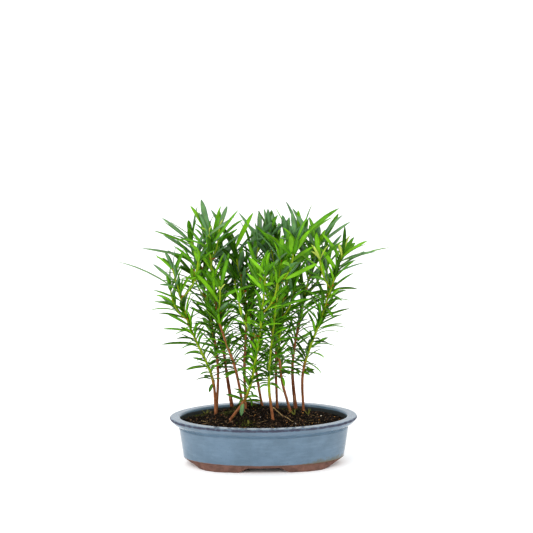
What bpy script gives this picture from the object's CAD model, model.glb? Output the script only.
import math
from typing import NamedTuple

import bpy
import numpy as np
from bpy.props import FloatProperty, FloatVectorProperty, IntProperty, PointerProperty
from mathutils import Euler, Matrix, Vector


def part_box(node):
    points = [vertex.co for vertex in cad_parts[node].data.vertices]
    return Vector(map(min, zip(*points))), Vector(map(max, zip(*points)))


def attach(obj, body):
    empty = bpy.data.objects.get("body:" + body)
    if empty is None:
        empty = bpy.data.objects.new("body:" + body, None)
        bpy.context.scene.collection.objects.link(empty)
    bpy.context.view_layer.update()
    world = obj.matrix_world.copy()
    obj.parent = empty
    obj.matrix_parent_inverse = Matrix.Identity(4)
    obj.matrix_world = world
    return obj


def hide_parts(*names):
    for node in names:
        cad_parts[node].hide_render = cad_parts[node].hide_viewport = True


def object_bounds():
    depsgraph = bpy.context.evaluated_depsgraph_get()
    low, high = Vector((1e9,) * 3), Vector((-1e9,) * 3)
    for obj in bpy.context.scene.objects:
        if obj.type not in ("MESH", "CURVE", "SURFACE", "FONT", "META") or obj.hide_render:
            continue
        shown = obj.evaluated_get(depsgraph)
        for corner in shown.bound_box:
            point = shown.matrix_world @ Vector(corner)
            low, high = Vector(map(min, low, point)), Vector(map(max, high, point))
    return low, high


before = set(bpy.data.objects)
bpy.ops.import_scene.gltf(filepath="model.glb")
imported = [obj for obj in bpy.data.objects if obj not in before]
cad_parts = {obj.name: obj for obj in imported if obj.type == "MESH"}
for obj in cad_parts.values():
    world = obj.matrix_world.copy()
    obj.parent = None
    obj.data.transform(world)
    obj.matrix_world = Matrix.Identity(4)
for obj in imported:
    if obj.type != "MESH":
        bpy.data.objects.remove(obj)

bl_info = {
    "name": "Potted podocarpus grove",
    "version": (1, 0, 0),
    "blender": (4, 5, 0),
    "location": "3D View > Sidebar > Grove",
    "description": "A little forest of podocarpus seedlings in an oval glazed bonsai pot",
    "category": "Object",
}

MM = 0.001
TAU = 2 * math.pi
GOLDEN_ANGLE = math.pi * (3 - math.sqrt(5))

# The space that the frame gives: the whole box, and the pot's own middle, rim and height
CAD_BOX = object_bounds()
BOWL_LOW, BOWL_HIGH = (np.array(corner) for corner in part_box("pot_bowl"))
POT_MIDDLE = (BOWL_LOW + BOWL_HIGH) / 2 * (1, 1, 0)
RIM = (BOWL_HIGH[0] - BOWL_LOW[0]) / 2
OVALNESS = RIM - (BOWL_HIGH[1] - BOWL_LOW[1]) / 2
POT_TOP = BOWL_HIGH[2]
FOOT_TOP = BOWL_LOW[2]

# The pot's profile, as half widths along its length and heights
LIP_WIDTH = 11 * MM
LIP_EDGE = 2.2 * MM
LIP_BELLY = 3.4 * MM
LIP_BELLY_DROP = 6.6 * MM
WALL_TOP = RIM - 9.5 * MM
WALL_FOOT = RIM - 14.5 * MM
EXTRA_SLOPE = 7 * MM
MOUTH = RIM - LIP_WIDTH
MOUTH_FOOT = MOUTH - 1 * MM
MOUTH_DEPTH = MOUTH - OVALNESS
FLOOR_EDGE = WALL_FOOT - 6.5 * MM
FLOOR_TOP = FOOT_TOP + 6 * MM
COVE_FOOT = POT_TOP - 10.2 * MM
GROOVE_DEPTH = 0.7 * MM
FOOT_GROUND = 70 * MM
FOOT_GROUND_DEPTH = 42 * MM
FOOT_INNER = FOOT_GROUND - 12 * MM
FOOT_SQUARENESS = 3.5
FOOT_EDGE = 0.7 * MM
NOTCH_HALF_GROUND = 27 * MM
NOTCH_SLOPE = 2.6 * MM
NOTCH_HEIGHT = 5.5 * MM
POT_SIDES = 288
FOOT_SIDES = 3 * POT_SIDES
FOOT_ROWS = 12

# The smallest ring of a piece that is carried round the pot's middle
INNERMOST = 0.5 * MM

# The soil's mound, the clods on it and the mossy hump at its back
SOIL_EDGE = 44.5 * MM
SOIL_MOUND = 9 * MM
SOIL_BED = 38 * MM
SOIL_REACH = 0.96
CLOD_RISE = 0.7 * MM
CLOD_SIZE = 30 * MM
CLOD_WAVES = 5
CRUMB_RIPPLES = ((0.4 * MM, 7 * MM, 4), (0.5 * MM, 3.2 * MM, 5))
HUMP_MIDDLE = np.array([-18, 34]) * MM
HUMP_REACH = np.array([17, 14]) * MM
HUMP_RISE = 7.5 * MM


class Seedling(NamedTuple):
    """One young tree, in millimetres from the pot's middle: its foot, first leaves, shoulder and tip,
    the height where its wood turns green, how bright its leaves are, and how large."""

    foot: tuple
    leafy: tuple
    shoulder: tuple
    tip: tuple
    green_from: float
    tone: float
    vigour: float


SEEDLINGS = (
    Seedling((-51, 5), (-54, 2, 92), (-77, -6, 150), (-93, -18, 212), 88, 0.62, 0.66),
    Seedling((-51, 30), (-49, 28, 100), (-57, 25, 158), (-75, 20, 237), 138, 0.35, 0.95),
    Seedling((-34, 40), (-41, 40, 100), (-46, 41, 155), (-42, 43, 213), 150, 0.2, 0.9),
    Seedling((-21, 5), (-29, 3, 100), (-47, -4, 160), (-56, -10, 251), 182, 0.5, 1.0),
    Seedling((-19, 15), (-20, 16, 100), (-18, 18, 165), (-29, 20, 228), 145, 0.35, 0.95),
    Seedling((-35, -20), (-17, -28, 80), (-4, -39, 140), (4, -53, 213), 76, 0.8, 0.5),
    Seedling((-1, 36), (-7, 37, 88), (-14, 39, 150), (-7, 40, 223), 162, 0.25, 0.95),
    Seedling((10, -26), (6, -27, 92), (11, -29, 150), (20, -34, 221), 74, 0.52, 0.9),
    Seedling((15, 42), (14, 44, 86), (15, 45, 150), (17, 47, 230), 128, 0.2, 1.0),
    Seedling((29, 8), (19, 6, 95), (19, 1, 155), (37, -6, 236), 116, 0.42, 1.05),
    Seedling((35, 38), (32, 37, 98), (42, 34, 158), (59, 29, 231), 170, 0.35, 1.0),
    Seedling((43, 16), (43, 12, 97), (63, 4, 158), (84, -10, 225), 104, 0.53, 0.82),
)
STEM_NODES = [f"stem_{number:02d}" for number in range(1, len(SEEDLINGS) + 1)]
FOLIAGE_NODES = [f"foliage_{number:02d}" for number in range(1, len(SEEDLINGS) + 1)]

# The seedlings with darker and thicker stems
DARK_BARKED = (2, 10)
DARK_THICKENING = 1.5

# Where the first leaves sit on a seedling's curve, and how its limbs taper
LEAFY_START = 1 / 3
STEM_RADIUS = 1.4 * MM
FLARE_RADIUS = 2.9 * MM
VISIBLE_FLARE = 0.25 * MM
FLARE_SHARE = 0.08
SHOOT_RADIUS = 1.5 * MM
SIDE_RADIUS = 0.8 * MM
TIP_RADIUS = 0.85 * MM
STEM_CLEARANCE = 0.3 * MM

# Shares of their own length by which a stem starts in the soil and a leafy shoot in its stem
STEM_START = -0.06
SHOOT_START = -0.03
STEM_STATIONS = 110
SHOOT_STATIONS = 44

# How far below and above its turning height the wood of a seedling changes to green
GREENING_BELOW = 16 * MM
GREENING_ABOVE = 22 * MM

# The side shoots leave the leafy shoot, swing out and turn up
SIDE_LOWEST = 0.5
SIDE_HIGHEST = 0.86
SIDE_LENGTH = 38 * MM
SIDE_LENGTH_RANGE = (0.75, 1.15)
SIDE_KNEE = (0.45, 0.3)
SIDE_TIP = (0.5, 0.9)
SIDE_AGE = 0.35
SIDE_FIRST_LEAF = 0.12
SIDE_STATIONS = 22

# How green a side shoot is at its foot, and how fast it grows greener
SIDE_GREEN = 0.35
SIDE_GREENING = 2

# The leaves: how they crowd in the lower middle of a shoot, how far they keep inside the frame's box, the
# last on a shoot, and how far they turn up from the twig
LEAF_LOWNESS = 1.3
LEAF_CROWDING = 0.35
LEAF_MARGIN = 5 * MM
LAST_LEAF = 0.985
LEAF_LIFT = 0.4

# A leaf's angle from its twig and its curl, in radians, how both fall up the seedling, and how far the
# lowest leaves droop
LEAF_ANGLE = 0.82
ANGLE_FALL = 0.2
LOWEST_DROOP = 0.5
LOWEST_SHARE = 0.05
LEAF_CURL = 0.8
CURL_FALL = 0.6
CURLS = (0.04, 1.8)

# How far leaves stray from the rule: normal spreads in radians, then ranges of shares
TURN_SPREAD = 0.35
ANGLE_SPREAD = 0.25
CURL_SPREAD = 0.25
ROLL_SPREAD = 0.5
LENGTH_RANGE = (0.6, 1.25)
WIDTH_RANGE = (0.8, 1.12)
FOLD_RANGE = (0.2, 0.7)
LONE_FOLD = 0.3

# The tuft at a tip, and the share of it that has just opened on some seedlings, with its size there
TUFT_LEAVES = 4
TUFT_ANGLES = (0.1, 0.75)
TUFT_LENGTHS = (0.7, 1)
YOUNG_SHARE = 0.6
YOUNG_SIZES = {3: 0.3, 11: 0.75}

LEAF_KINDS = ("leaves_deep", "leaves_green", "leaves_bright", "leaves_silvery", "leaves_young")
DEEP, GREEN, BRIGHT, SILVERY, YOUNG = range(len(LEAF_KINDS))

# How fresh a leaf is: at the foot of a seedling, what its height and the seedling's tone add, and the
# spread. It is old below one bound and bright from the other
FRESHNESS = 0.22
FRESHER_BY_HEIGHT = 0.22
FRESHER_BY_TONE = 0.6
FRESHNESS_SPREAD = 0.18
OLD_BELOW = 0.22
FRESH_FROM = 0.48

# The share of the highest leaves that have a grey bloom, and how far the tone lessens it
BLOOMED_SHARE = 0.45
BLOOM_LOST_BY_TONE = 0.38

# Leaves with places of their own, which stand out of the crown or low on a stem: seedling, share of its
# shoot, lean to the right and tilt to the front in degrees, length and width in mm, curl and kind
LONE_LEAVES = (
    (0, 0.8, -50, 0, 74, 2.3, 0.62, SILVERY),
    (0, 0.33, -80, 10, 38, 4.2, 0.35, DEEP),
    (0, 0.44, -72, 5, 32, 3.6, 0.45, GREEN),
    (0, 0.56, -68, -10, 33, 3.4, 0.5, DEEP),
    (0, 0.64, -62, 0, 34, 3.6, 0.5, GREEN),
    (0, 0.72, -60, 15, 33, 3.4, 0.2, GREEN),
    (0, -0.06, -150, 10, 11, 4.0, 0.3, DEEP),
    (1, 0.3, -58, 10, 26, 3.8, 0.4, DEEP),
    (1, 0.44, -50, 0, 28, 4.0, 0.4, DEEP),
    (1, 0.88, -74, 10, 59, 4.4, 0.12, SILVERY),
    (1, 0.97, -63, 20, 46, 4.4, 0.1, GREEN),
    (1, 0.99, -46, 10, 42, 5.4, 0.1, SILVERY),
    (3, 0.98, -28, 15, 37, 6.6, 0.1, BRIGHT),
    (3, 0.99, -10, 12, 37, 6.8, 0.05, SILVERY),
    (3, 0.9, 35, 0, 50, 4.4, 0.1, GREEN),
    (4, 0.98, -26, 0, 52, 5.6, 0.2, SILVERY),
    (4, 0.99, 24, 10, 46, 7.0, 0.1, BRIGHT),
    (5, 0.96, 8, 58, 46, 4.4, 0.2, GREEN),
    (5, -0.1, -58, 15, 21, 4.6, 0.4, DEEP),
    (5, -0.11, 78, 12, 19, 4.4, 0.4, DEEP),
    (5, -0.12, -168, 15, 15, 4.4, 0.3, SILVERY),
    (5, -0.08, 48, 30, 16, 3.6, 0.5, GREEN),
    (8, 0.97, -8, 0, 43, 5.4, 0.05, SILVERY),
    (8, 0.97, 5, -58, 50, 5.2, 0.1, GREEN),
    (9, 1.0, 42, 5, 58, 6.8, 0.35, GREEN),
    (10, 0.98, 50, 8, 46, 5.4, 0.1, SILVERY),
    (11, 0.98, 54, 15, 33, 5.8, 0.1, BRIGHT),
    (11, 0.9, 56, 5, 59, 2.4, 0.6, GREEN),
    (11, 0.94, 64, 20, 40, 5.4, 0.3, SILVERY),
    (11, 0.7, 68, 10, 30, 4.2, 0.7, DEEP),
    (11, 0.38, 66, 0, 30, 2.6, 0.6, GREEN),
    (11, 0.0, 66, 15, 15, 4.2, 1.7, DEEP),
)


def smooth_step(low, high, value):
    """0 below low and 1 above high, with the cubic 3s^2 - 2s^3 between them."""
    share = np.clip((value - low) / (high - low), 0, 1)
    return share * share * (3 - 2 * share)


def unit(vectors):
    """Vectors divided by their lengths."""
    return vectors / np.linalg.norm(vectors, axis=-1, keepdims=True)


def ripple(points, size, seed, waves=24):
    """A smooth unevenness of about -1 to 1: the sum of plane waves of random direction and phase,
    each about `size` long, over the square root of half their number."""
    random = np.random.default_rng(seed)
    directions = unit(random.normal(size=(waves, 3))) * random.uniform(0.7, 1.5, (waves, 1))
    phases = random.uniform(0, TAU, waves)
    swings = np.sin(np.asarray(points) @ directions.T * (TAU / size) + phases)
    return swings.sum(-1) / math.sqrt(waves / 2) / 1.5


# Meshes

def turns_round(count):
    """Angles spaced evenly round a full turn."""
    return np.arange(count) / count * TAU


def circles(across, upward, sides):
    """Unit circles in the planes of two directions: the cosine of a turn along one and the sine along the
    other."""
    turn = turns_round(sides)[:, None]
    return np.cos(turn) * across[..., None, :] + np.sin(turn) * upward[..., None, :]


def with_column(skin, values):
    """A skin's points (ring, side, 3) with a fourth column, which holds one value for each ring."""
    column = np.broadcast_to(values[..., None, None], (*skin.shape[:-1], 1))
    return np.concatenate([skin, column], axis=-1)


def tube_faces(count, rings, sides):
    """Faces of closed tubes: quads between neighbouring rings, and a fan from each end ring to a pole."""
    ring, side = np.meshgrid(np.arange(rings - 1), np.arange(sides), indexing="ij")
    here = (ring * sides + side).ravel()
    beside = (ring * sides + (side + 1) % sides).ravel()
    quads = np.stack([here, beside, beside + sides, here + sides], axis=-1)
    edge = np.arange(sides)
    after = (edge + 1) % sides
    top = (rings - 1) * sides
    foot_pole = np.full(sides, rings * sides)
    foot = np.stack([after, edge, foot_pole], axis=-1)
    head = np.stack([top + edge, top + after, foot_pole + 1], axis=-1)
    offset = np.arange(count)[:, None, None] * (rings * sides + 2)
    return (quads + offset).reshape(-1, 4), (np.concatenate([foot, head]) + offset).reshape(-1, 3)


def tube_points(grid):
    """Points of closed tubes from a grid (tube, ring, side): the rings, then the middle of each end ring."""
    poles = grid[:, [0, -1]].mean(axis=2)
    return np.concatenate([grid.reshape(len(grid), -1, grid.shape[-1]), poles], axis=1)


def put_mesh(name, points, quads, triangles, material, attribute=None):
    """Puts points and faces into a smooth-shaded mesh at the origin. A fourth column of the points
    becomes the named attribute."""
    mesh = bpy.data.meshes.new(name)
    corners = np.concatenate([quads.ravel(), triangles.ravel()]).astype(np.int32)
    sizes = np.repeat([4, 3], [len(quads), len(triangles)])
    mesh.vertices.add(len(points))
    mesh.vertices.foreach_set("co", points[:, :3].astype(np.float32).ravel())
    mesh.loops.add(len(corners))
    mesh.loops.foreach_set("vertex_index", corners)
    mesh.polygons.add(len(sizes))
    mesh.polygons.foreach_set("loop_start", (np.cumsum(sizes) - sizes).astype(np.int32))
    mesh.polygons.foreach_set("use_smooth", np.ones(len(sizes), dtype=bool))
    if attribute:
        layer = mesh.attributes.new(attribute, "FLOAT", "POINT")
        layer.data.foreach_set("value", points[:, 3].astype(np.float32))
    mesh.update(calc_edges=True)
    mesh.materials.append(material)
    piece = bpy.data.objects.new(name, mesh)
    bpy.context.scene.collection.objects.link(piece)
    return piece


def put_tubes(name, grids, material, attribute=None):
    """Joins grids of closed tubes (tube, ring, side, column) into one mesh piece."""
    points, quads, triangles, start = [], [], [], 0
    for grid in grids:
        spots = tube_points(grid).reshape(-1, grid.shape[-1])
        four, three = tube_faces(*grid.shape[:3])
        points.append(spots)
        quads.append(four + start)
        triangles.append(three + start)
        start += len(spots)
    joined = (np.concatenate(part) for part in (points, quads, triangles))
    return put_mesh(name, *joined, material, attribute)


def place(piece, slot, *nodes):
    """Fixes a piece to the frame's one body, with its record slot and the nodes that it stands for."""
    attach(piece, "root")
    if nodes:
        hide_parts(*nodes)


def sweep(paths, radii, sides):
    """Tubes round paths (tube, ring, 3): each ring is a circle square to the path's direction."""
    forward = unit(np.gradient(paths, axis=-2))
    across = unit(np.cross(forward, (0.0, 1.0, 0.0)))
    ring = circles(across, np.cross(forward, across), sides)
    return paths[..., None, :] + radii[..., None, None] * ring


def rounded(corners, steps=7, runs=6):
    """An outline through corners (across, up, rounding). Each corner becomes a parabola that leaves and
    meets the two sides at its rounding's distance, and each straight run between is cut evenly."""
    marks = np.array(corners)
    points, reach = marks[:, :2], marks[1:-1, 2:]
    turning = points[1:-1]
    start = turning + reach * unit(points[:-2] - turning)
    end = turning + reach * unit(points[2:] - turning)
    share = np.linspace(0, 1, steps)[:, None, None]
    arcs = (1 - share) ** 2 * start + 2 * share * (1 - share) * turning + share**2 * end
    leaving, meeting = np.vstack([points[:1], end]), np.vstack([start, points[-1:]])
    cuts = np.linspace(0, 1, runs, endpoint=False)[:, None, None]
    lines = leaving + (meeting - leaving) * cuts
    outline = [lines[:, 0]]
    for corner in range(len(turning)):
        outline += [arcs[:-1, corner], lines[:, corner + 1]]
    return np.vstack([*outline, points[-1:]])


def oval_depth(across, up):
    """Half depth of the pot's oval: the half width less an inset. The inset is even down to the cove, grows
    from there to the foot, and fades to nothing from the floor's edge to the middle."""
    fallen = np.clip((COVE_FOOT - up) / (COVE_FOOT - FOOT_TOP), 0, 1)
    inset = OVALNESS + EXTRA_SLOPE * fallen
    return across - inset * np.minimum(across, FLOOR_EDGE) / FLOOR_EDGE


def oval(outline, sides):
    """An outline (half width, height) carried round the pot's oval."""
    across, up = outline.T
    depth = oval_depth(across, up)
    turn = turns_round(sides)
    rings = np.stack(
        [np.outer(across, np.cos(turn)), np.outer(depth, np.sin(turn)), np.outer(up, np.ones(sides))],
        axis=-1,
    )
    return rings + POT_MIDDLE


# Materials

class Wire:
    """A node's socket that can be reckoned with: + - * and ** each add a Math node."""

    def __init__(self, finish, socket):
        self.finish = finish
        self.socket = socket

    def reckon(self, operation, first, second):
        """The socket of a Math node for two wires or numbers."""
        return self.finish.node("ShaderNodeMath", {"operation": operation}, {0: first, 1: second})

    def __add__(self, other):
        return self.reckon("ADD", self, other)

    def __radd__(self, other):
        return self.reckon("ADD", other, self)

    def __sub__(self, other):
        return self.reckon("SUBTRACT", self, other)

    def __rsub__(self, other):
        return self.reckon("SUBTRACT", other, self)

    def __mul__(self, other):
        return self.reckon("MULTIPLY", self, other)

    def __rmul__(self, other):
        return self.reckon("MULTIPLY", other, self)

    def __pow__(self, other):
        return self.reckon("POWER", self, other)


class Finish:
    """A node material in the making. One method adds any node, and the rest are put together from it."""

    def __init__(self, name):
        self.material = bpy.data.materials.new(name)
        self.material.use_nodes = True
        self.tree = self.material.node_tree
        self.tree.nodes.clear()
        self.spot = self.node("ShaderNodeTexCoord", output="Object")

    def node(self, kind, settings=None, sockets=None, output=0):
        """Adds a node: its settings come first, then the values or wires of its sockets."""
        made = self.tree.nodes.new(kind)
        for key, value in (settings or {}).items():
            setattr(made, key, value)
        for key, value in (sockets or {}).items():
            if isinstance(value, Wire):
                self.tree.links.new(value.socket, made.inputs[key])
            else:
                made.inputs[key].default_value = value
        return Wire(self, made.outputs[output]) if made.outputs else None

    def noise(self, size, detail=4.0, rough=0.55, stretch=(1.0, 1.0, 1.0)):
        """Noise of 0 to 1, whose lumps are about `size` across, stretched along the axes."""
        scaled = tuple(1 / length for length in stretch)
        spot = self.node("ShaderNodeMapping", None, {"Vector": self.spot, "Scale": scaled})
        sockets = {"Vector": spot, "Scale": 1 / size, "Detail": detail, "Roughness": rough}
        return self.node("ShaderNodeTexNoise", None, sockets)

    def between(self, wire, low, high):
        """0 where the wire is under low and 1 where it is over high, with a smooth step between."""
        sockets = {"Value": wire, "From Min": low, "From Max": high}
        return self.node("ShaderNodeMapRange", {"interpolation_type": "SMOOTHSTEP"}, sockets)

    def blend(self, factor, first, second):
        """The first colour where the factor is 0, and the second where it is 1."""
        sockets = {0: factor, 6: opaque(first), 7: opaque(second)}
        return self.node("ShaderNodeMix", {"data_type": "RGBA"}, sockets, output=2)

    def attribute(self, name):
        """A value that the mesh holds at each of its points."""
        return self.node("ShaderNodeAttribute", {"attribute_name": name}, output="Fac")

    def along(self, axis):
        """The distance from the frame's origin along one of its axes."""
        return self.node("ShaderNodeSeparateXYZ", None, {"Vector": self.spot}, output=axis)

    def surface(self, colour, roughness, bump=None, bump_depth=0.0, gloss=0.5, glow=None):
        """Closes the material with one shader, whose relief comes from a bump of the depth given, and which
        may give off light of its own."""
        sockets = {"Base Color": opaque(colour), "Roughness": roughness, "Specular IOR Level": gloss}
        if glow:
            sockets |= {"Emission Color": glow, "Emission Strength": 1.0}
        if bump:
            relief = {"Height": bump, "Strength": 1.0, "Distance": bump_depth}
            sockets["Normal"] = self.node("ShaderNodeBump", None, relief)
        shader = self.node("ShaderNodeBsdfPrincipled", None, sockets)
        self.node("ShaderNodeOutputMaterial", None, {"Surface": shader})
        return self.material


def opaque(colour):
    """A colour with its alpha of 1; a wire is passed on as it is."""
    return colour if isinstance(colour, Wire) else (*tuple(colour)[:3], 1.0)


def shade(colour, share):
    """A colour made lighter or darker by a share."""
    return tuple(part * share for part in tuple(colour)[:3])


def glaze_finish(pot):
    """Blue-grey glaze: clouded, banded and finely speckled, pitted on the lip, thin and dark along the
    lip's edge, stained by soil inside, and ending in bare clay just over the foot, with a film of moss
    there at one end."""
    finish = Finish("blue_grey_glaze")
    clouds = finish.noise(26 * MM, 5, 0.6)
    bands = finish.noise(2.6 * MM, 5, 0.65, stretch=(6, 6, 1))
    colour = finish.blend(finish.between(clouds, 0.35, 0.68), pot.glaze_deep, pot.glaze)
    colour = finish.blend(finish.between(bands, 0.45, 0.75) * 0.4, colour, pot.glaze_pale)
    specks = finish.between(finish.noise(1.1 * MM, 2, 0.5), 0.62, 0.74)
    colour = finish.blend(specks * 0.5, colour, shade(pot.glaze_deep, 0.45))
    on_lip = finish.between(finish.along("Z"), POT_TOP - 2 * MM, POT_TOP - 0.6 * MM)
    pits = finish.between(finish.noise(2.4 * MM, 3, 0.6), 0.58, 0.68) * on_lip
    colour = finish.blend(pits * 0.7, colour, pot.glaze_edge)
    wear = finish.attribute("wear")
    broken = finish.noise(5 * MM, 5, 0.65)
    thin = finish.between(wear + (broken - 0.5) * 1.1, 0.55, 0.9)
    colour = finish.blend(thin, colour, pot.glaze_edge)
    stained = finish.between(wear * -1 + (broken - 0.5) * 0.7, 0.2, 0.6)
    colour = finish.blend(stained * 0.93, colour, pot.stain)
    bare_line = finish.along("Z") + (finish.noise(9 * MM, 3, 0.5) - 0.5) * (1.4 * MM)
    bare = 1 - finish.between(bare_line, FOOT_TOP + 0.7 * MM, FOOT_TOP + 1.0 * MM)
    colour = finish.blend(bare, colour, pot.clay)
    mossy_line = finish.along("Z") - finish.between(finish.along("X"), 35 * MM, 75 * MM) * (6 * MM)
    mossy = 1 - finish.between(mossy_line + broken * (14 * MM), FOOT_TOP + 3 * MM, FOOT_TOP + 7 * MM)
    colour = finish.blend(mossy * 0.6, colour, pot.moss)
    dull = thin * 0.5 + pits * 0.4 + bare * 0.5 + stained * 0.35
    roughness = 0.1 + finish.noise(4 * MM, 3, 0.5) * 0.12 + dull
    relief = clouds * 0.5 + finish.noise(5 * MM, 2, 0.5) * 0.2
    return finish.surface(colour, roughness, relief, 0.16 * MM)


def clay_finish(pot):
    """Unglazed brown clay: mottled, gritty and quite matt."""
    finish = Finish("bare_brown_clay")
    mottle = finish.between(finish.noise(9 * MM, 5, 0.65), 0.3, 0.75)
    colour = finish.blend(mottle, shade(pot.clay, 0.6), shade(pot.clay, 1.25))
    grit = finish.noise(0.7 * MM, 3, 0.6)
    colour = finish.blend(finish.between(grit, 0.62, 0.72) * 0.5, colour, shade(pot.clay, 2.2))
    return finish.surface(colour, 0.75 + mottle * 0.15, grit + mottle * 0.6, 0.4 * MM, 0.2)


def mottled_finish(name, colour, size, contrast, roughness, depth):
    """One colour, mottled lighter and darker by noise, with relief at the same scale."""
    finish = Finish(name)
    mottle = finish.noise(size, 5, 0.65)
    span = finish.between(mottle, 0.3, 0.7)
    tint = finish.blend(span, shade(colour, 1 - contrast), shade(colour, 1 + contrast))
    fine = finish.noise(size * 0.3, 4, 0.6)
    return finish.surface(tint, roughness + fine * 0.2, mottle + fine * 0.5, depth, 0.06)


def greened(finish, colour, plant, unevenness):
    """A wood colour that turns through red-brown to fresh green with the attribute greenness."""
    age = finish.attribute("greenness") + (unevenness - 0.5) * 0.5
    colour = finish.blend(finish.between(age, 0.1, 0.5), colour, plant.shoot_red)
    return finish.blend(finish.between(age, 0.35, 0.85), colour, plant.shoot_green)


def bark_finish(name, colour, plant):
    """Thin young bark: flaking streaks that run up the stem, dark lengthwise cracks, and green higher up."""
    finish = Finish(name)
    streaks = finish.noise(1.6 * MM, 5, 0.65, stretch=(1, 1, 6))
    colour_up = finish.blend(finish.between(streaks, 0.35, 0.7), shade(colour, 0.45), colour)
    flakes = finish.between(finish.noise(2.6 * MM, 4, 0.6, stretch=(1, 1, 2.5)), 0.56, 0.7)
    colour_up = finish.blend(flakes * 0.7, colour_up, plant.bark_flake)
    colour_up = greened(finish, colour_up, plant, streaks)
    return finish.surface(colour_up, 0.62 + streaks * 0.25, streaks, 0.35 * MM, 0.12)


def shoot_finish(plant):
    """Young shoots: brown wood at the foot that turns through red-brown to fresh green."""
    finish = Finish("green_shoot")
    colour = greened(finish, plant.bark_red, plant, finish.noise(3 * MM, 4, 0.6, (1, 1, 4)))
    flecks = finish.between(finish.noise(2.2 * MM, 3, 0.5), 0.6, 0.72)
    colour = finish.blend(flecks * 0.55, colour, plant.shoot_red)
    return finish.surface(colour, 0.4 + flecks * 0.2, flecks, 0.1 * MM, 0.12)


def leaf_finish(name, colour, roughness, gloss=0.1):
    """A leathery leaf with a soft gloss, clouded lighter and darker and finely flecked."""
    finish = Finish(name)
    clouds = finish.between(finish.noise(14 * MM, 3, 0.5), 0.3, 0.7)
    tint = finish.blend(clouds, shade(colour, 0.72), shade(colour, 1.22))
    fine = finish.noise(0.9 * MM, 3, 0.5)
    tint = finish.blend(finish.between(fine, 0.5, 0.75) * 0.25, tint, shade(colour, 1.6))
    return finish.surface(tint, roughness + fine * 0.12, fine, 0.05 * MM, gloss)


def floor_finish(stage):
    """A pale matt floor, faintly clouded, with some light of its own as a lit studio floor has, but none
    in the rounded oblong under the pot, where (x/a)^4 + (y/b)^4 is under a half."""
    finish = Finish("pale_floor")
    clouds = finish.between(finish.noise(400 * MM), 0.3, 0.7)
    colour = finish.blend(clouds, shade(stage.floor, 0.99), stage.floor)
    across = (finish.along("X") - POT_MIDDLE[0]) * (1 / FOOT_GROUND)
    deep = (finish.along("Y") - POT_MIDDLE[1]) * (1 / FOOT_GROUND_DEPTH)
    in_the_open = finish.between(across**4 + deep**4, 0.5, 0.8)
    glow = finish.blend(in_the_open, (0, 0, 0), (stage.glow, stage.glow, stage.glow))
    return finish.surface(colour, 0.7 + clouds * 0.2, gloss=0.06, glow=glow)


# Settings

def size_setting(name, description, default):
    """A length that is never negative."""
    return FloatProperty(name=name, description=description, default=default, min=0, unit="LENGTH")


def angle_setting(name, description, degrees):
    """An angle, given here in degrees."""
    return FloatProperty(name=name, description=description, default=math.radians(degrees), subtype="ANGLE")


def count_setting(name, description, default):
    """A number of like things, at least one."""
    return IntProperty(name=name, description=description, default=default, min=1)


def colour_setting(name, description, default):
    """A colour as linear red, green and blue."""
    return FloatVectorProperty(
        name=name, description=description, default=default, size=3, min=0, max=1, subtype="COLOR"
    )


class PotSettings(bpy.types.PropertyGroup):
    """The pot's unevenness and colours."""

    unevenness: size_setting("Unevenness", "How far the hand-made wall strays", 0.25 * MM)
    glaze: colour_setting("Glaze", "Main colour of the glaze", (0.101, 0.167, 0.238))
    glaze_deep: colour_setting("Deep glaze", "Where the glaze lies thick", (0.078, 0.135, 0.192))
    glaze_pale: colour_setting("Pale glaze", "Pale bands in the glaze", (0.145, 0.222, 0.298))
    glaze_edge: colour_setting("Thin glaze", "Where it breaks along the lip", (0.02, 0.024, 0.052))
    stain: colour_setting("Stain", "Soil and moss on the inside", (0.011, 0.013, 0.008))
    moss: colour_setting("Moss film", "Moss on the glaze by the foot", (0.1, 0.085, 0.022))
    clay: colour_setting("Clay", "The bare clay of the foot", (0.16, 0.08, 0.06))


class SoilSettings(bpy.types.PropertyGroup):
    """What lies on the soil."""

    crumbs: count_setting("Crumbs", "Crumbs of soil", 4200)
    moss: count_setting("Moss", "Blades of moss", 2400)
    soil: colour_setting("Soil", "Damp potting soil", (0.006, 0.004, 0.0025))
    crumb: colour_setting("Crumbs", "Brown crumbs", (0.03, 0.017, 0.009))
    dry: colour_setting("Dry crumbs", "Drier, paler crumbs", (0.14, 0.082, 0.042))
    chip: colour_setting("Chips", "Chips of bark in the soil", (0.16, 0.065, 0.025))
    orange: colour_setting("Orange chips", "Fresh chips of bark", (0.62, 0.3, 0.08))
    grit: colour_setting("Grit", "Pale grains", (0.6, 0.55, 0.48))
    moss_green: colour_setting("Moss", "Dark moss on the soil", (0.05, 0.06, 0.008))
    thread: colour_setting("Threads", "Dry roots and straws", (0.33, 0.22, 0.1))
    sprout: colour_setting("Sprouts", "Small weeds", (0.17, 0.17, 0.03))


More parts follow.
